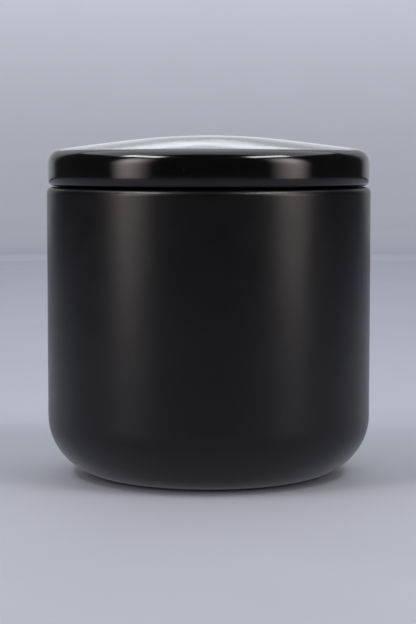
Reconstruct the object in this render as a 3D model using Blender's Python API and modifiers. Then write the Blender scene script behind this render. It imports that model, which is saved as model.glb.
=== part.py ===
"""Empty candle jar: a turned stoneware cup, its lift-off lid and the silicone ring that seals the lid.

Standalone script for Blender 4.5, in metres with +Z up. The origin is the centre of the jar's foot, on the
surface the jar stands on, and every piece is turned about the Z axis. Profiles are lists of (radius, height)
points at +X, and each one runs down its outer side from top to bottom, so that the turned skin faces out.
"""

import math

import bpy

MM = 0.001

# Turning
SEGMENTS = 72
MERGE_DISTANCE = 0.01 * MM
CLEARANCE = 0.3 * MM
SMALL_ARC = 3
MEDIUM_ARC = 5
LARGE_ARC = 9

# Jar
JAR_RADIUS = 45.0 * MM
JAR_HEIGHT = 80.0 * MM
JAR_WALL = 4.0 * MM
JAR_FLOOR = 5.0 * MM
JAR_CORNER = 16.45 * MM
RIM_OUTER_ROUND = 1.65 * MM
RIM_INNER_ROUND = 1.2 * MM
FOOT_WIDTH = 5.0 * MM
FOOT_RECESS = 1.2 * MM
FOOT_ROUND = 0.4 * MM
BORE_RADIUS = JAR_RADIUS - JAR_WALL

# Lid, with heights measured from the underside of its flange
SEAT_GAP = 0.3 * MM
LID_RADIUS = 44.85 * MM
LID_EDGE_ROUND = 1.5 * MM
LID_EDGE_DEGREES = 14.0
LID_LEAN = 8.0 * MM
LID_SIDE_TOP = 6.15 * MM
LID_SIDE_BARREL = 125.0 * MM
LID_SHOULDER = 4.0 * MM
LID_THICKNESS = 5.0 * MM
DOME_SLOPE = math.atan(0.1254)
DOME_CAP_RADIUS = 182.0 * MM

# Spigot, the ring under the lid that drops into the jar's mouth
SPIGOT_RADIUS = 39.4 * MM
SPIGOT_DEPTH = 9.0 * MM
SPIGOT_WALL = 4.4 * MM
SPIGOT_ROUND = 0.8 * MM
SPIGOT_ROOT_ROUND = 0.6 * MM
SPIGOT_INNER_FILLET = 3.0 * MM
GROOVE_DEPTH = 1.2 * MM
GROOVE_TOP = -1.8 * MM
GROOVE_BOTTOM = -7.4 * MM

# Seal ring, a stretched band with wiper fins
SEAL_BAND = 1.0 * MM
SEAL_FINS = 3
FIN_ROOT = 1.1 * MM
FIN_TIP = 0.5 * MM
FIN_RISE = 0.25 * MM

# Finishes: base colour, roughness and metallic
SATIN_BLACK_GLAZE = ((0.012, 0.012, 0.013), 0.42, 0.0)
GLOSS_BLACK_GLAZE = ((0.010, 0.010, 0.011), 0.18, 0.0)
CLEAR_SILICONE = ((0.62, 0.62, 0.60), 0.45, 0.0)


def clear_scene():
    for obj in list(bpy.data.objects):
        bpy.data.objects.remove(obj, do_unlink=True)


def arc(centre_radius, centre_height, radius, start, end, steps):
    """Points on an arc between two angles in degrees, where 0 points outwards and 90 points up."""
    angles = [math.radians(start + (end - start) * i / steps) for i in range(steps + 1)]
    return [
        (centre_radius + radius * math.cos(angle), centre_height + radius * math.sin(angle))
        for angle in angles
    ]


def jar_profile():
    inner_corner = JAR_CORNER - JAR_WALL
    foot_outer = JAR_RADIUS - JAR_CORNER
    foot_inner = foot_outer - FOOT_WIDTH
    inside = [
        (0.0, JAR_FLOOR),
        *arc(BORE_RADIUS - inner_corner, JAR_FLOOR + inner_corner, inner_corner, -90, 0, LARGE_ARC),
    ]
    rim = [
        *arc(
            BORE_RADIUS + RIM_INNER_ROUND, JAR_HEIGHT - RIM_INNER_ROUND, RIM_INNER_ROUND, 180, 90, SMALL_ARC
        ),
        *arc(JAR_RADIUS - RIM_OUTER_ROUND, JAR_HEIGHT - RIM_OUTER_ROUND, RIM_OUTER_ROUND, 90, 0, MEDIUM_ARC),
    ]
    outside = arc(foot_outer, JAR_CORNER, JAR_CORNER, 0, -90, LARGE_ARC)
    foot = [
        *arc(foot_inner + FOOT_ROUND, FOOT_ROUND, FOOT_ROUND, -90, -180, SMALL_ARC),
        *arc(foot_inner - FOOT_ROUND, FOOT_RECESS - FOOT_ROUND, FOOT_ROUND, 0, 90, SMALL_ARC),
        (0.0, FOOT_RECESS),
    ]
    return inside + rim + outside + foot


def height_over_dome_centre(centre_radius, round_radius, cap_radius):
    """Height, above the dome cap's centre, of an arc that sits inside the dome and touches its cone."""
    along = cap_radius - round_radius - math.sin(DOME_SLOPE) * centre_radius
    return along / math.cos(DOME_SLOPE)


def lid_side():
    """The side curves in ever more tightly: a slight barrel, a leaning arc, then the round lower edge."""
    edge_turn = math.radians(LID_EDGE_DEGREES)
    lean_reach = LID_SIDE_BARREL - LID_LEAN
    edge_reach = LID_LEAN - LID_EDGE_ROUND
    lean_drop = LID_SIDE_TOP - LID_EDGE_ROUND - edge_reach * math.sin(edge_turn)
    lean_turn = math.asin(lean_drop / lean_reach)
    lean_radius = LID_RADIUS - LID_SIDE_BARREL + lean_reach * math.cos(lean_turn)
    edge_radius = lean_radius + edge_reach * math.cos(edge_turn)
    lean_height = LID_SIDE_TOP - lean_drop
    lean_start = -math.degrees(lean_turn)
    lean = arc(lean_radius, lean_height, LID_LEAN, lean_start, -LID_EDGE_DEGREES, SMALL_ARC)
    edge = arc(edge_radius, LID_EDGE_ROUND, LID_EDGE_ROUND, -LID_EDGE_DEGREES, -90, MEDIUM_ARC)
    return lean + edge[1:]


def lid_profile():
    shoulder_radius = LID_RADIUS - LID_SHOULDER
    cap_centre = LID_SIDE_TOP - height_over_dome_centre(shoulder_radius, LID_SHOULDER, DOME_CAP_RADIUS)
    cone_angle = 90 - math.degrees(DOME_SLOPE)
    top = [
        *arc(0.0, cap_centre, DOME_CAP_RADIUS, 90, cone_angle, SMALL_ARC),
        *arc(shoulder_radius, LID_SIDE_TOP, LID_SHOULDER, cone_angle, 0, MEDIUM_ARC),
        *lid_side(),
    ]
    groove_radius = SPIGOT_RADIUS - GROOVE_DEPTH
    spigot_inner = SPIGOT_RADIUS - SPIGOT_WALL
    lip_height = SPIGOT_ROUND - SPIGOT_DEPTH
    spigot = [
        *arc(SPIGOT_RADIUS + SPIGOT_ROOT_ROUND, -SPIGOT_ROOT_ROUND, SPIGOT_ROOT_ROUND, 90, 180, SMALL_ARC),
        (SPIGOT_RADIUS, GROOVE_TOP),
        (groove_radius, GROOVE_TOP),
        (groove_radius, GROOVE_BOTTOM),
        (SPIGOT_RADIUS, GROOVE_BOTTOM),
        *arc(SPIGOT_RADIUS - SPIGOT_ROUND, lip_height, SPIGOT_ROUND, 0, -90, SMALL_ARC),
        *arc(spigot_inner + SPIGOT_ROUND, lip_height, SPIGOT_ROUND, -90, -180, SMALL_ARC),
    ]
    inner_cap_radius = DOME_CAP_RADIUS - LID_THICKNESS
    fillet_radius = spigot_inner - SPIGOT_INNER_FILLET
    fillet_height = cap_centre + height_over_dome_centre(
        fillet_radius, SPIGOT_INNER_FILLET, inner_cap_radius
    )
    underside = [
        *arc(fillet_radius, fillet_height, SPIGOT_INNER_FILLET, 0, cone_angle, MEDIUM_ARC),
        *arc(0.0, cap_centre, inner_cap_radius, cone_angle, 90, SMALL_ARC),
    ]
    return top + spigot + underside


def seal_profile():
    """Closed loop, with the fins listed from the top one down. Each fin's tip stands a little high."""
    inner = SPIGOT_RADIUS - GROOVE_DEPTH + CLEARANCE
    outer = inner + SEAL_BAND
    tip = BORE_RADIUS - CLEARANCE
    top = GROOVE_TOP - CLEARANCE
    bottom = GROOVE_BOTTOM + CLEARANCE
    pitch = (top - bottom) / SEAL_FINS
    points = [(inner, top), (outer, top)]
    for fin in range(SEAL_FINS):
        middle = top - pitch * (fin + 0.5)
        points += [
            (outer, middle + FIN_ROOT / 2),
            (tip, middle + FIN_RISE + FIN_TIP / 2),
            (tip, middle + FIN_RISE - FIN_TIP / 2),
            (outer, middle - FIN_ROOT / 2),
        ]
    return points + [(outer, bottom), (inner, bottom)]


def finish(name, colour, roughness, metallic):
    material = bpy.data.materials.new(name)
    material.use_nodes = True
    shader = material.node_tree.nodes["Principled BSDF"]
    shader.inputs["Base Color"].default_value = (*colour, 1.0)
    shader.inputs["Roughness"].default_value = roughness
    shader.inputs["Metallic"].default_value = metallic
    material.diffuse_color = (*colour, 1.0)
    return material


def turned(name, profile, material, collection, closed=False):
    """A piece turned from its profile about the Z axis. A closed profile makes a ring."""
    count = len(profile)
    edges = [(i, i + 1) for i in range(count - 1)]
    if closed:
        edges.append((count - 1, 0))
    mesh = bpy.data.meshes.new(name)
    mesh.from_pydata([(radius, 0.0, height) for radius, height in profile], edges, [])
    mesh.materials.append(material)
    piece = bpy.data.objects.new(name, mesh)
    collection.objects.link(piece)
    screw = piece.modifiers.new("Turn", "SCREW")
    screw.axis = "Z"
    screw.steps = SEGMENTS
    screw.render_steps = SEGMENTS
    screw.use_merge_vertices = True
    screw.merge_threshold = MERGE_DISTANCE
    screw.use_smooth_shade = True
    return piece


def main():
    clear_scene()
    collection = bpy.data.collections.new("empty_candle_jar")
    bpy.context.scene.collection.children.link(collection)

    jar_glaze = finish("satin_black_glaze", *SATIN_BLACK_GLAZE)
    lid_glaze = finish("gloss_black_glaze", *GLOSS_BLACK_GLAZE)
    silicone = finish("clear_silicone", *CLEAR_SILICONE)

    turned("jar", jar_profile(), jar_glaze, collection)
    lid = turned("lid", lid_profile(), lid_glaze, collection)
    seal = turned("seal_ring", seal_profile(), silicone, collection, closed=True)

    # The lid and its seal lift off together along the Z axis from this empty, at the height of the seat.
    lid_lift = bpy.data.objects.new("lid_lift", None)
    lid_lift.location = (0.0, 0.0, JAR_HEIGHT + SEAT_GAP)
    lid_lift.empty_display_size = LID_RADIUS
    collection.objects.link(lid_lift)
    lid.parent = lid_lift
    seal.parent = lid_lift


main()
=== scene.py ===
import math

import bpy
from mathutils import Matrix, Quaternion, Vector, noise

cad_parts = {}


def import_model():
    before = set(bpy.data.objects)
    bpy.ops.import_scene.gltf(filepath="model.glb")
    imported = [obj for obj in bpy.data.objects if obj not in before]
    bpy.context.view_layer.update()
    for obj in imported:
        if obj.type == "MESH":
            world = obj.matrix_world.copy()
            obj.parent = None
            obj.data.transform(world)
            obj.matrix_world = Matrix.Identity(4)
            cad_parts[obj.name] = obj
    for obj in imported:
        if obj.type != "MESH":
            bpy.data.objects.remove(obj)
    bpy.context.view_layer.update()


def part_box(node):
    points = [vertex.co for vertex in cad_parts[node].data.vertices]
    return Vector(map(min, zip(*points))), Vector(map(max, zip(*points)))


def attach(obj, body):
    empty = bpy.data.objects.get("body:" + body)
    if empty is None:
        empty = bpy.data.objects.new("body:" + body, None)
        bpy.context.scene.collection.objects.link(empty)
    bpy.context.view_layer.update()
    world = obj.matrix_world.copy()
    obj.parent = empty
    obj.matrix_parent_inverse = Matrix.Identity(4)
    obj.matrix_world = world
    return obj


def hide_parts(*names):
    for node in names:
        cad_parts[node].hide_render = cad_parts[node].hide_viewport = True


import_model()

# The looks of the empty candle jar: fine turned surfaces for the jar, its lid and the lid's seal ring, with
# their glazes, bare clay and silicone, on a pale floor in soft studio light. Lengths are in metres unless a
# name says otherwise, and every piece is turned about the Z axis from a profile of (radius, height) points.

MM = 0.001

# Turning: the steps between the points of a profile on its arcs and along its straight runs. A run also has a
# point close to each of its ends.
SEGMENTS = 288
ARC_STEP_DEGREES = 4.0
ARC_STEP = 1.5 * MM
RUN_STEP = 2.0 * MM
EDGE_LOOP = 0.15 * MM
SAME_POINT = 0.001 * MM

# Jar
JAR_RADIUS = 45.0 * MM
JAR_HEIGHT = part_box("jar")[1][2]
JAR_WALL = 4.0 * MM
JAR_FLOOR = 5.0 * MM
JAR_CORNER = 16.45 * MM
RIM_OUTER_ROUND = 1.65 * MM
RIM_INNER_ROUND = 1.2 * MM
FOOT_WIDTH = 5.0 * MM
FOOT_RECESS = 1.2 * MM
FOOT_ROUND = 0.4 * MM
BORE_RADIUS = JAR_RADIUS - JAR_WALL

# Lid, with heights measured from the underside of its flange
SPIGOT_DEPTH = 9.0 * MM
LID_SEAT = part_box("lid")[0][2] + SPIGOT_DEPTH
LID_RADIUS = 44.85 * MM
LID_EDGE_ROUND = 1.5 * MM
LID_EDGE_DEGREES = 14.0
LID_LEAN = 8.0 * MM
LID_SIDE_TOP = 6.15 * MM
LID_SIDE_BARREL = 125.0 * MM
LID_SHOULDER = 4.0 * MM
LID_THICKNESS = 5.0 * MM
DOME_SLOPE = math.atan(0.1254)
DOME_CAP_RADIUS = 182.0 * MM
DOME_CROWN_RADIUS = 700.0 * MM

# Spigot
SPIGOT_RADIUS = 39.4 * MM
SPIGOT_WALL = 4.4 * MM
SPIGOT_ROUND = 0.8 * MM
SPIGOT_ROOT_ROUND = 0.6 * MM
SPIGOT_INNER_FILLET = 3.0 * MM
GROOVE_DEPTH = 1.2 * MM
GROOVE_TOP = -1.8 * MM
GROOVE_BOTTOM = -7.4 * MM
GROOVE_ROUND = 0.25 * MM

# Surfaces
WAVE_LENGTH = 9.0 * MM
JAR_WAVE = 0.05 * MM
LID_WAVE = 0.04 * MM
CALM_EDGE = 4.0 * MM
GLAZE_EDGE = 0.05 * MM
EDGE_WOBBLE = 0.02 * MM

# Seal ring
SEAL_CLEARANCE = 0.3 * MM
SEAL_BAND = 1.0 * MM
SEAL_FINS = 3
FIN_ROOT = 1.1 * MM
FIN_TIP = 0.5 * MM
FIN_RISE = 0.25 * MM


# Profiles


def arc(centre_radius, centre_height, radius, start, end, step=ARC_STEP):
    """Points on an arc between two angles in degrees, where 0 points outwards and 90 points up. Two points
    that follow each other are at most a step apart."""
    length = radius * math.radians(abs(end - start))
    steps = max(3, round(abs(end - start) / ARC_STEP_DEGREES), math.ceil(length / step))
    angles = [math.radians(start + (end - start) * i / steps) for i in range(steps + 1)]
    return [
        (centre_radius + radius * math.cos(angle), centre_height + radius * math.sin(angle))
        for angle in angles
    ]


def with_runs(points):
    """The profile with points added along its long straight stretches, so that smooth shading stays true."""
    filled = []
    for start, end in zip(points, points[1:], strict=False):
        length = math.dist(start, end)
        if length < SAME_POINT:
            continue
        marks = [0.0]
        if length > RUN_STEP:
            inner = length - 2 * EDGE_LOOP
            steps = max(1, round(inner / RUN_STEP))
            marks += [EDGE_LOOP + inner * i / steps for i in range(steps + 1)]
        for mark in marks:
            share = mark / length
            filled.append(tuple(a + (b - a) * share for a, b in zip(start, end, strict=True)))
    return filled + [points[-1]]


def jar_profile():
    inner_corner = JAR_CORNER - JAR_WALL
    foot_outer = JAR_RADIUS - JAR_CORNER
    foot_inner = foot_outer - FOOT_WIDTH
    rim_outer = JAR_RADIUS - RIM_OUTER_ROUND
    return [
        (0.0, JAR_FLOOR),
        *arc(BORE_RADIUS - inner_corner, JAR_FLOOR + inner_corner, inner_corner, -90, 0),
        *arc(BORE_RADIUS + RIM_INNER_ROUND, JAR_HEIGHT - RIM_INNER_ROUND, RIM_INNER_ROUND, 180, 90),
        *arc(rim_outer, JAR_HEIGHT - RIM_OUTER_ROUND, RIM_OUTER_ROUND, 90, 0),
        *arc(foot_outer, JAR_CORNER, JAR_CORNER, 0, -90),
        *arc(foot_inner + FOOT_ROUND, FOOT_ROUND, FOOT_ROUND, -90, -180),
        *arc(foot_inner - FOOT_ROUND, FOOT_RECESS - FOOT_ROUND, FOOT_ROUND, 0, 90),
        (0.0, FOOT_RECESS),
    ]


def height_over_dome_centre(centre_radius, round_radius, cap_radius):
    """Height, above the dome cap's centre, of an arc that sits inside the dome and touches its cone."""
    along = cap_radius - round_radius - math.sin(DOME_SLOPE) * centre_radius
    return along / math.cos(DOME_SLOPE)


def crown_centre(cap_centre, shoulder):
    """Centre of the wide arc that runs from the dome's cap into its round shoulder, without a kink."""
    to_cap = DOME_CROWN_RADIUS - DOME_CAP_RADIUS
    to_shoulder = DOME_CROWN_RADIUS - LID_SHOULDER
    cap = Vector((0.0, cap_centre))
    apart = shoulder - cap
    along = (to_cap**2 - to_shoulder**2 + apart.length_squared) / (2 * apart.length)
    aside = math.sqrt(to_cap**2 - along**2)
    direction = apart.normalized()
    return cap + direction * along - Vector((-direction.y, direction.x)) * aside


def angle_from(centre, point):
    return math.degrees(math.atan2(point.y - centre.y, point.x - centre.x))


def lid_side():
    """The side curves in ever more tightly: a slight barrel, a leaning arc, then the round lower edge."""
    edge_turn = math.radians(LID_EDGE_DEGREES)
    lean_reach = LID_SIDE_BARREL - LID_LEAN
    edge_reach = LID_LEAN - LID_EDGE_ROUND
    lean_drop = LID_SIDE_TOP - LID_EDGE_ROUND - edge_reach * math.sin(edge_turn)
    lean_turn = math.asin(lean_drop / lean_reach)
    lean_degrees = math.degrees(lean_turn)
    barrel_radius = LID_RADIUS - LID_SIDE_BARREL
    lean_radius = barrel_radius + lean_reach * math.cos(lean_turn)
    edge_radius = lean_radius + edge_reach * math.cos(edge_turn)
    return [
        *arc(barrel_radius, LID_SIDE_TOP, LID_SIDE_BARREL, 0, -lean_degrees),
        *arc(lean_radius, LID_SIDE_TOP - lean_drop, LID_LEAN, -lean_degrees, -LID_EDGE_DEGREES),
        *arc(edge_radius, LID_EDGE_ROUND, LID_EDGE_ROUND, -LID_EDGE_DEGREES, -90),
    ]


def lid_profile():
    """The dome is a round cap, then a wide arc that is nearly a cone, then the round shoulder. The side, the
    spigot with its groove, and the underside follow."""
    shoulder = Vector((LID_RADIUS - LID_SHOULDER, LID_SIDE_TOP))
    cap_centre = LID_SIDE_TOP - height_over_dome_centre(shoulder.x, LID_SHOULDER, DOME_CAP_RADIUS)
    cone_angle = 90 - math.degrees(DOME_SLOPE)
    crown = crown_centre(cap_centre, shoulder)
    crown_top = angle_from(crown, Vector((0.0, cap_centre)))
    crown_end = angle_from(crown, shoulder)
    groove_radius = SPIGOT_RADIUS - GROOVE_DEPTH
    groove_corner = groove_radius + GROOVE_ROUND
    spigot_inner = SPIGOT_RADIUS - SPIGOT_WALL
    lip_height = SPIGOT_ROUND - SPIGOT_DEPTH
    inner_cap_radius = DOME_CAP_RADIUS - LID_THICKNESS
    fillet_radius = spigot_inner - SPIGOT_INNER_FILLET
    fillet_height = cap_centre + height_over_dome_centre(fillet_radius, SPIGOT_INNER_FILLET, inner_cap_radius)
    return [
        *arc(0.0, cap_centre, DOME_CAP_RADIUS, 90, crown_top),
        *arc(crown.x, crown.y, DOME_CROWN_RADIUS, crown_top, crown_end),
        *arc(shoulder.x, shoulder.y, LID_SHOULDER, crown_end, 0),
        *lid_side(),
        *arc(SPIGOT_RADIUS + SPIGOT_ROOT_ROUND, -SPIGOT_ROOT_ROUND, SPIGOT_ROOT_ROUND, 90, 180),
        *arc(SPIGOT_RADIUS - GROOVE_ROUND, GROOVE_TOP + GROOVE_ROUND, GROOVE_ROUND, 0, -90),
        *arc(groove_corner, GROOVE_TOP - GROOVE_ROUND, GROOVE_ROUND, 90, 180),
        *arc(groove_corner, GROOVE_BOTTOM + GROOVE_ROUND, GROOVE_ROUND, 180, 270),
        *arc(SPIGOT_RADIUS - GROOVE_ROUND, GROOVE_BOTTOM - GROOVE_ROUND, GROOVE_ROUND, 90, 0),
        *arc(SPIGOT_RADIUS - SPIGOT_ROUND, lip_height, SPIGOT_ROUND, 0, -90),
        *arc(spigot_inner + SPIGOT_ROUND, lip_height, SPIGOT_ROUND, -90, -180),
        *arc(fillet_radius, fillet_height, SPIGOT_INNER_FILLET, 0, cone_angle),
        *arc(0.0, cap_centre, inner_cap_radius, cone_angle, 90),
    ]


def seal_profile():
    """Closed loop, with the fins listed from the top one down. Each fin has a round tip a little high."""
    inner = SPIGOT_RADIUS - GROOVE_DEPTH + SEAL_CLEARANCE
    outer = inner + SEAL_BAND
    tip = BORE_RADIUS - SEAL_CLEARANCE - FIN_TIP / 2
    top = GROOVE_TOP - SEAL_CLEARANCE
    bottom = GROOVE_BOTTOM + SEAL_CLEARANCE
    pitch = (top - bottom) / SEAL_FINS
    points = [(inner, top), (outer, top)]
    for fin in range(SEAL_FINS):
        middle = top - pitch * (fin + 0.5)
        points.append((outer, middle + FIN_ROOT / 2))
        points += arc(tip, middle + FIN_RISE, FIN_TIP / 2, 90, -90)
        points.append((outer, middle - FIN_ROOT / 2))
    return points + [(outer, bottom), (inner, bottom)]


# Meshes


def turned(name, profile, lift, material, closed=False):
    """A piece turned from its profile about the Z axis and raised by lift. A closed profile makes a ring."""
    points = []
    rings = []
    for radius, height in profile:
        count = SEGMENTS if radius > SAME_POINT else 1
        rings.append([len(points) + i for i in range(count)])
        for i in range(count):
            turn = 2 * math.pi * i / SEGMENTS
            points.append((radius * math.cos(turn), radius * math.sin(turn), height + lift))
    pairs = list(zip(rings, rings[1:], strict=False))
    if closed:
        pairs.append((rings[-1], rings[0]))
    faces = []
    for upper, lower in pairs:
        for i in range(SEGMENTS):
            j = (i + 1) % SEGMENTS
            corners = [
                upper[i % len(upper)],
                lower[i % len(lower)],
                lower[j % len(lower)],
                upper[j % len(upper)],
            ]
            faces.append(list(dict.fromkeys(corners)))
    mesh = bpy.data.meshes.new(name)
    mesh.from_pydata(points, [], faces)
    mesh.materials.append(material)
    mesh.validate()
    mesh.shade_smooth()
    piece = bpy.data.objects.new(name, mesh)
    bpy.context.scene.collection.objects.link(piece)
    return piece


def wavy(piece, depth, lowest):
    """Sinks the surface in gentle waves, at most this deep, above the lowest height of the waves."""
    points = piece.data.vertices
    normals = [point.normal.copy() for point in points]
    for point, normal in zip(points, normals, strict=True):
        rise = min(1.0, max(0.0, (point.co.z - lowest) / CALM_EDGE))
        wave = 0.5 + 0.5 * noise.noise(point.co / WAVE_LENGTH)
        point.co -= normal * (depth * rise * wave)


# Materials, where a patch is the size of the clouds in a pattern, and a grain is a bump's size and depth

DUST = (0.16, 0.16, 0.16, 1.0)
CLAY_PALE = (0.50, 0.45, 0.38, 1.0)
CLAY_DARK = (0.36, 0.31, 0.25, 1.0)
CLAY_PATCH = 0.5 * MM
CLAY_ROUGHNESS = 0.85
EDGE_PATCH = 3 * MM
EDGE_BLUR = 0.01 * MM
NOISE_LOW = 0.3
NOISE_HIGH = 0.7

# Black glazes, whose colour and roughness change by these factors from patch to patch
THIN_GLAZE = 1.5
THICK_GLAZE = 0.7
GLAZE_PATCH = 11 * MM
GLOSSY_GLAZE = 0.92
DULL_GLAZE = 1.08
GLOSS_PATCH = 7 * MM
SPECK_SPACING = 8 * MM
SPECK_RADIUS = 0.14 * MM
JAR_BLACK = (0.0011, 0.0011, 0.0013)
JAR_ROUGHNESS = 0.30
JAR_SPECULAR = 0.33
JAR_GRAINS = ((2.5 * MM, 0.006 * MM), (0.6 * MM, 0.0015 * MM))
LID_BLACK = (0.001, 0.001, 0.0011)
LID_ROUGHNESS = 0.12
LID_SPECULAR = 0.38
LID_GRAINS = ((2.5 * MM, 0.003 * MM), (0.7 * MM, 0.0006 * MM))

# Silicone
MILK = (0.62, 0.62, 0.60)
MILK_DARK = (0.60, 0.60, 0.575, 1.0)
MILK_PALE = (0.65, 0.65, 0.63, 1.0)
MILK_PATCH = 5 * MM
MILK_SPECK_SPACING = 3 * MM
MILK_SPECK_RADIUS = 0.1 * MM
SILICONE_ROUGHNESS = 0.42
SILICONE_SMOOTH = 0.38
SILICONE_DULL = 0.48
SILICONE_DULL_PATCH = 1.5 * MM
SILICONE_IOR = 1.41
SILICONE_SINK = 0.5
SILICONE_SINK_DEPTH = 0.8 * MM
SILICONE_SINK_COLOUR = (1.0, 1.0, 0.95)
SILICONE_GRAINS = ((1.2 * MM, 0.006 * MM), (0.2 * MM, 0.002 * MM))


def add(tree, kind, inputs, **settings):
    """A new shader node. Each of its inputs is given a value, or a link from a socket."""
    node = tree.nodes.new("ShaderNode" + kind)
    for key, value in settings.items():
        setattr(node, key, value)
    for key, value in inputs.items():
        if isinstance(value, bpy.types.NodeSocket):
            tree.links.new(value, node.inputs[key])
        else:
            node.inputs[key].default_value = value
    return node


def principled(name, colour, roughness):
    """A new material with a Principled shader, and its node tree and shader."""
    material = bpy.data.materials.new(name)
    material.use_nodes = True
    tree = material.node_tree
    shader = tree.nodes["Principled BSDF"]
    shader.inputs["Base Color"].default_value = (*colour, 1.0)
    shader.inputs["Roughness"].default_value = roughness
    return material, tree, shader


def place(tree):
    return add(tree, "TexCoord", {}).outputs["Object"]


def fade(tree, value, full, gone):
    """A smooth fade from 1 where the value is full to 0 where it is gone."""
    inputs = {"Value": value, "From Min": gone, "From Max": full}
    return add(tree, "MapRange", inputs, interpolation_type="SMOOTHSTEP").outputs["Result"]


def mottle(tree, size, low, high, detail=2.0):
    """A cloudy pattern with patches of this size, between two values."""
    cloud = add(tree, "TexNoise", {"Vector": place(tree), "Scale": 1 / size, "Detail": detail})
    inputs = {"Value": cloud.outputs["Fac"], "From Min": NOISE_LOW, "From Max": NOISE_HIGH}
    inputs |= {"To Min": low, "To Max": high}
    return add(tree, "MapRange", inputs).outputs["Result"]


def specks(tree, spacing, radius):
    """Small round spots, 1 inside and 0 outside, where points scattered in space come near the surface."""
    points = add(tree, "TexVoronoi", {"Vector": place(tree), "Scale": 1 / spacing})
    return fade(tree, points.outputs["Distance"], 0.5 * radius / spacing, radius / spacing)


def mixed(tree, share, first, second):
    """A colour that goes from the first to the second as share goes from 0 to 1."""
    return add(tree, "Mix", {0: share, 6: first, 7: second}, data_type="RGBA").outputs[2]


def between(tree, share, first, second):
    """A number that goes from the first to the second as share goes from 0 to 1."""
    inputs = {"Value": share, "To Min": first, "To Max": second}
    return add(tree, "MapRange", inputs).outputs["Result"]


def grained(tree, shader, grains):
    """Bumps on the surface from layers of noise, each with its size and depth."""
    normal = None
    for size, depth in grains:
        cloud = add(tree, "TexNoise", {"Vector": place(tree), "Scale": 1 / size, "Detail": 1.0})
        inputs = {"Height": cloud.outputs["Fac"], "Distance": depth}
        if normal:
            inputs["Normal"] = normal
        normal = add(tree, "Bump", inputs).outputs["Normal"]
    tree.links.new(normal, shader.inputs["Normal"])


def bare_ring(tree, lowest):
    """1 on the ring of bare clay at the piece's lowest height, up to the uneven edge of the glaze."""
    height = add(tree, "SeparateXYZ", {"Vector": place(tree)}).outputs["Z"]
    edge = mottle(tree, EDGE_PATCH, lowest + GLAZE_EDGE - EDGE_WOBBLE, lowest + GLAZE_EDGE + EDGE_WOBBLE)
    over = add(tree, "Math", {0: height, 1: edge}, operation="SUBTRACT").outputs["Value"]
    return fade(tree, over, -EDGE_BLUR, EDGE_BLUR)


def glazed(name, colour, roughness, lowest, grains):
    """Black glaze with cloudy colour and gloss, fine grain and a few specks, and a bare clay ring below."""
    material, tree, shader = principled(name, colour, roughness)
    thin = (*(THIN_GLAZE * part for part in colour), 1.0)
    thick = (*(THICK_GLAZE * part for part in colour), 1.0)
    glaze = mixed(tree, mottle(tree, GLAZE_PATCH, 0.0, 1.0), thick, thin)
    dusted = mixed(tree, specks(tree, SPECK_SPACING, SPECK_RADIUS), glaze, DUST)
    clay = mixed(tree, mottle(tree, CLAY_PATCH, 0.0, 1.0), CLAY_PALE, CLAY_DARK)
    bare = bare_ring(tree, lowest)
    tree.links.new(mixed(tree, bare, dusted, clay), shader.inputs["Base Color"])
    cloudy = mottle(tree, GLOSS_PATCH, GLOSSY_GLAZE * roughness, DULL_GLAZE * roughness, detail=4.0)
    tree.links.new(between(tree, bare, cloudy, CLAY_ROUGHNESS), shader.inputs["Roughness"])
    grained(tree, shader, grains)
    return material, shader


def jar_glaze():
    material, shader = glazed("satin_black_glaze", JAR_BLACK, JAR_ROUGHNESS, 0.0, JAR_GRAINS)
    shader.inputs["Specular IOR Level"].default_value = JAR_SPECULAR
    return material


def lid_glaze():
    lowest = LID_SEAT - SPIGOT_DEPTH
    material, shader = glazed("gloss_black_glaze", LID_BLACK, LID_ROUGHNESS, lowest, LID_GRAINS)
    shader.inputs["Specular IOR Level"].default_value = LID_SPECULAR
    return material


def silicone():
    """Milky silicone that light sinks a little way into."""
    material, tree, shader = principled("milky_silicone", MILK, SILICONE_ROUGHNESS)
    shader.inputs["IOR"].default_value = SILICONE_IOR
    shader.inputs["Subsurface Weight"].default_value = SILICONE_SINK
    shader.inputs["Subsurface Scale"].default_value = SILICONE_SINK_DEPTH
    shader.inputs["Subsurface Radius"].default_value = SILICONE_SINK_COLOUR
    milk = mixed(tree, mottle(tree, MILK_PATCH, 0.0, 1.0), MILK_DARK, MILK_PALE)
    dust = specks(tree, MILK_SPECK_SPACING, MILK_SPECK_RADIUS)
    tree.links.new(mixed(tree, dust, milk, DUST), shader.inputs["Base Color"])
    dull = mottle(tree, SILICONE_DULL_PATCH, SILICONE_SMOOTH, SILICONE_DULL)
    tree.links.new(dull, shader.inputs["Roughness"])
    grained(tree, shader, SILICONE_GRAINS)
    return material


# Light, floor and camera


def across(light):
    """The lamp's node tree, with sockets that run from 0 to 1 across its width and up its height."""
    light.use_nodes = True
    tree = light.node_tree
    geometry = add(tree, "NewGeometry", {})
    split = add(tree, "SeparateXYZ", {"Vector": geometry.outputs["Parametric"]})
    return tree, split.outputs["X"], split.outputs["Y"]


def glow(tree, strength):
    tree.links.new(strength, tree.nodes["Emission"].inputs["Strength"])


def fade_round(light, full, gone):
    """The lamp fades out between two distances from its middle, as shares of its width."""
    tree, width, height = across(light)
    point = add(tree, "CombineXYZ", {"X": width, "Y": height}).outputs["Vector"]
    reach = add(tree, "VectorMath", {0: point, 1: (0.5, 0.5, 0.0)}, operation="DISTANCE")
    glow(tree, fade(tree, reach.outputs["Value"], full, gone))


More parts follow.
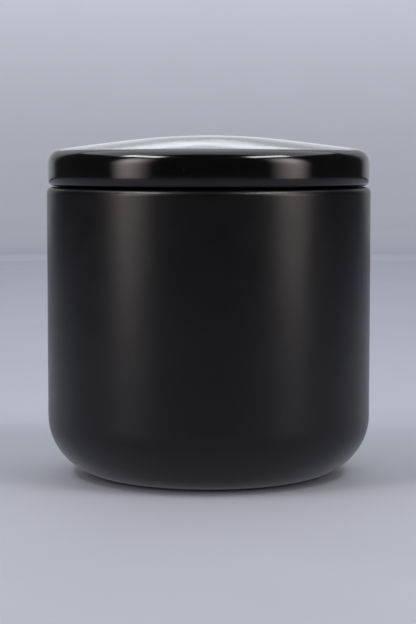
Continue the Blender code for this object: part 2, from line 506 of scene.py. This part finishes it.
def shaped(light, sides, stops):
    """The lamp fades out over these shares of its width at its two sides, and its strength up its height goes
    through the stops, each a share of the height and a strength."""
    tree, width, height = across(light)
    ramp = add(tree, "ValToRGB", {"Fac": height})
    colours = ramp.color_ramp.elements
    for share, _ in stops[1:-1]:
        colours.new(share)
    for colour, (share, strength) in zip(colours, stops, strict=True):
        colour.position = share
        colour.color = (strength, strength, strength, 1.0)
    strength = ramp.outputs["Color"]
    for full, gone in ((sides[0], 0.0), (1 - sides[1], 1.0)):
        inputs = {0: strength, 1: fade(tree, width, full, gone)}
        strength = add(tree, "Math", inputs, operation="MULTIPLY").outputs["Value"]
    glow(tree, strength)


def softbox(name, centre, target, size, radiance, colour, roll=0.0):
    """A rectangular area light of this radiance, rolled by an angle in degrees. The camera doesn't see it."""
    light = bpy.data.lights.new(name, "AREA")
    light.shape = "RECTANGLE"
    light.size, light.size_y = size
    light.energy = radiance * math.pi * size[0] * size[1]
    light.color = colour
    lamp = bpy.data.objects.new(name, light)
    lamp.location = centre
    aim = Vector(target) - Vector(centre)
    level = aim.to_track_quat("-Z", "Y")
    lamp.rotation_euler = (level @ Quaternion((0.0, 0.0, 1.0), math.radians(roll))).to_euler()
    lamp.visible_camera = False
    bpy.context.scene.collection.objects.link(lamp)
    return light


def polar(azimuth, distance, height):
    """A point at an azimuth from the camera's side, in degrees, with positive values on the right."""
    turn = math.radians(azimuth)
    return (distance * math.sin(turn), -distance * math.cos(turn), height)


WARM = (1.12, 1.0, 0.98)
NEUTRAL = (1.0, 1.0, 1.0)
COOL = (0.96, 0.99, 1.06)

# Softboxes at the sides, with fades as shares of their width and stops as shares of their height
SIDE_DISTANCE = 0.5
SIDE_LOW = 0.02
SIDE_HIGH = 0.56
SIDE_WIDTH = 0.31
SIDE_OUTER_FADE = 0.4
SIDE_INNER_FADE = 0.6
SIDE_STOPS = ((0.0, 0.3), (0.12, 0.55), (0.45, 1.0), (0.65, 1.0), (1.0, 0.0))
SIDE_SOFTBOXES = (
    ("side_softbox_left", -53.5, (SIDE_OUTER_FADE, SIDE_INNER_FADE), 7.5),
    ("side_softbox_right", 56.5, (SIDE_INNER_FADE, SIDE_OUTER_FADE), 7.1),
)

# Strips high at the sides, aimed at the top of the jar
UPPER_DISTANCE = 0.53
UPPER_HEIGHT = 0.81
UPPER_SIZE = (0.4, 0.15)
UPPER_STRIPS = (("upper_strip_left", -64.8, 19.0), ("upper_strip_right", 57.5, 19.0))

# The rear light's radiance at these elevations in degrees, as seen from the top of the jar
REAR_DISTANCE = 1.1
REAR_WIDTH = 2.3
REAR_FADES = (0.2, 0.2)
REAR_GLOW = (
    (-4, 0.45),
    (1, 0.6),
    (4, 0.6),
    (7, 0.5),
    (12.4, 0.45),
    (17, 0.4),
    (25, 0.55),
    (40, 1.0),
)

# A card and a strip just in front of the rear light
CARD_GAP = 0.01
CARD_HEIGHT = 0.19
CARD_SIZE = (0.46, 0.22)
CARD_RADIANCE = 0.6
CARD_FADES = (0.35, 0.35)
CARD_STOPS = ((0.0, 0.6), (0.3, 1.0), (0.6, 0.8), (1.0, 0.3))
STRIP_HEIGHT = 0.376
STRIP_SIZE = (0.5, 0.032)
STRIP_RADIANCE = 2.9
STRIP_ROLL = -6.0

# Lights over the table and on it
OVERHEAD_CENTRE = (0, 0.36, 0.9)
OVERHEAD_SIZE = (1.5, 1.0)
OVERHEAD_RADIANCE = 1.7
TABLE_GLOW_HEIGHT = 0.1 * MM
TABLE_GLOW_SIZE = (0.24, 0.24)
TABLE_GLOW_RADIANCE = 0.2
TABLE_GLOW_FULL = 0.14
TABLE_GLOW_GONE = 0.32
ROOM_COLOUR = (1.0, 1.0, 1.05, 1.0)
ROOM_STRENGTH = 0.05


def side_lights():
    middle = (SIDE_LOW + SIDE_HIGH) / 2
    size = (SIDE_WIDTH, SIDE_HIGH - SIDE_LOW)
    for name, azimuth, fades, radiance in SIDE_SOFTBOXES:
        centre = polar(azimuth, SIDE_DISTANCE, middle)
        shaped(softbox(name, centre, (0, 0, middle), size, radiance, WARM), fades, SIDE_STOPS)
    for name, azimuth, radiance in UPPER_STRIPS:
        centre = polar(azimuth, UPPER_DISTANCE, UPPER_HEIGHT)
        softbox(name, centre, (0, 0, JAR_HEIGHT), UPPER_SIZE, radiance, NEUTRAL)


def rear_lights():
    """An upright light behind the jar, whose brightness changes with the elevation it is seen at, its twin
    that faces the backdrop, and in front of them a dim card and a bright strip."""
    heights = [JAR_HEIGHT + REAR_DISTANCE * math.tan(math.radians(elevation)) for elevation, _ in REAR_GLOW]
    low, high = heights[0], heights[-1]
    middle = (low + high) / 2
    brightest = max(radiance for _, radiance in REAR_GLOW)
    size = (REAR_WIDTH, high - low)
    shares = [(height - low) / (high - low) for height in heights]
    strengths = [radiance / brightest for _, radiance in REAR_GLOW]
    stops = list(zip(shares, strengths, strict=True))
    centre = (0, REAR_DISTANCE, middle)
    for name, reach in (("rear", 0.0), ("backdrop_light", 2 * REAR_DISTANCE)):
        light = softbox(name, centre, (0, reach, middle), size, brightest, COOL)
        shaped(light, REAR_FADES, stops)
    plane = REAR_DISTANCE - CARD_GAP
    centre, target = (0, plane, CARD_HEIGHT), (0, 0, CARD_HEIGHT)
    shaped(softbox("rear_card", centre, target, CARD_SIZE, CARD_RADIANCE, COOL), CARD_FADES, CARD_STOPS)
    centre, target = (0, plane, STRIP_HEIGHT), (0, 0, STRIP_HEIGHT)
    softbox("rear_strip", centre, target, STRIP_SIZE, STRIP_RADIANCE, COOL, STRIP_ROLL)


def lights():
    side_lights()
    rear_lights()
    below = (0, OVERHEAD_CENTRE[1], 0)
    softbox("overhead", OVERHEAD_CENTRE, below, OVERHEAD_SIZE, OVERHEAD_RADIANCE, COOL)
    centre = (0, 0, TABLE_GLOW_HEIGHT)
    table = softbox("table_glow", centre, (0, 0, 1), TABLE_GLOW_SIZE, TABLE_GLOW_RADIANCE, COOL)
    fade_round(table, TABLE_GLOW_FULL, TABLE_GLOW_GONE)


def world():
    scene_world = bpy.data.worlds.new("studio")
    scene_world.use_nodes = True
    background = scene_world.node_tree.nodes["Background"]
    background.inputs["Color"].default_value = ROOM_COLOUR
    background.inputs["Strength"].default_value = ROOM_STRENGTH
    bpy.context.scene.world = scene_world


# The floor is a disc, and the backdrop goes on from its edge and bends up into a wall
FLOOR_COLOUR = (0.265, 0.272, 0.305)
FLOOR_PALE = 1.02
FLOOR_DARK = 0.98
FLOOR_PATCH = 60 * MM
FLOOR_GRAINS = ((0.8 * MM, 0.01 * MM),)
FLOOR_ROUGHNESS = 0.7
FLOOR_SPECULAR = 0.1
TABLE_REACH = 1.0
SWEEP_START = 1.6
SWEEP_BEND = 0.6
SWEEP_STEP = 0.04
BACKDROP_TOP = 2.4
GLOW_COLOUR = (0.96, 0.98, 1.08, 1.0)
FAR_GLOW_START = 0.8
FAR_GLOW = 0.18
BACKDROP_GLOW_HEIGHT = 0.5
BACKDROP_GLOW = 0.3

# The camera, level with the lid and tipped down by an angle in degrees
CAMERA_LENS = 110.0
CAMERA_SENSOR = 36.0
CAMERA_PLACE = (-0.2 * MM, -532.2 * MM, 91.1 * MM)
CAMERA_DOWN = 4.96
CAMERA_REACH = 20.0


def paper(name):
    """Matt paint with a faint cloudiness and a fine tooth."""
    material, tree, shader = principled(name, FLOOR_COLOUR, FLOOR_ROUGHNESS)
    shader.inputs["Specular IOR Level"].default_value = FLOOR_SPECULAR
    pale = (*(FLOOR_PALE * part for part in FLOOR_COLOUR), 1.0)
    dark = (*(FLOOR_DARK * part for part in FLOOR_COLOUR), 1.0)
    cloud = mottle(tree, FLOOR_PATCH, 0.0, 1.0, detail=3.0)
    tree.links.new(mixed(tree, cloud, dark, pale), shader.inputs["Base Color"])
    grained(tree, shader, FLOOR_GRAINS)
    return material, tree, shader


def stage():
    floor_paint, _, _ = paper("pale_floor")
    floor = turned("floor", [(0.0, 0.0), (TABLE_REACH, 0.0)], 0.0, floor_paint)
    sweep_paint, tree, shader = paper("pale_backdrop")
    shader.inputs["Emission Color"].default_value = GLOW_COLOUR
    reach = add(tree, "VectorMath", {0: place(tree)}, operation="LENGTH").outputs["Value"]
    height = add(tree, "SeparateXYZ", {"Vector": place(tree)}).outputs["Z"]
    light = 0.0
    for value, full, gone, strength in (
        (reach, SWEEP_START, FAR_GLOW_START, FAR_GLOW),
        (height, BACKDROP_GLOW_HEIGHT, 0.0, BACKDROP_GLOW),
    ):
        inputs = {0: fade(tree, value, full, gone), 1: strength, 2: light}
        light = add(tree, "Math", inputs, operation="MULTIPLY_ADD").outputs["Value"]
    tree.links.new(light, shader.inputs["Emission Strength"])
    bend = arc(SWEEP_START, SWEEP_BEND, SWEEP_BEND, -90, 0, SWEEP_STEP)
    sweep = [(TABLE_REACH, 0.0), *bend, (SWEEP_START + SWEEP_BEND, BACKDROP_TOP)]
    backdrop = turned("backdrop", sweep, 0.0, sweep_paint)
    backdrop.visible_glossy = False


def camera():
    lens = bpy.data.cameras.new("camera")
    lens.lens = CAMERA_LENS
    lens.sensor_width = CAMERA_SENSOR
    lens.clip_end = CAMERA_REACH
    eye = bpy.data.objects.new("camera", lens)
    eye.location = CAMERA_PLACE
    eye.rotation_euler = (math.radians(90 - CAMERA_DOWN), 0, 0)
    bpy.context.scene.collection.objects.link(eye)
    bpy.context.scene.camera = eye


# Pieces


def jar_piece():
    jar = turned("jar_body", with_runs(jar_profile()), 0.0, jar_glaze())
    wavy(jar, JAR_WAVE, 0.0)
    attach(jar, "jar")
    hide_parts("jar")


def lid_piece():
    lid = turned("domed_lid", with_runs(lid_profile()), LID_SEAT, lid_glaze())
    wavy(lid, LID_WAVE, LID_SEAT)
    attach(lid, "lid")
    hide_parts("lid")


def seal_piece():
    seal = turned("silicone_seal", seal_profile(), LID_SEAT, silicone(), closed=True)
    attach(seal, "lid")
    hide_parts("seal_ring")


def main():
    jar_piece()
    lid_piece()
    seal_piece()
    camera()
    stage()
    lights()
    world()
    bpy.context.scene.view_settings.view_transform = "Standard"


main()
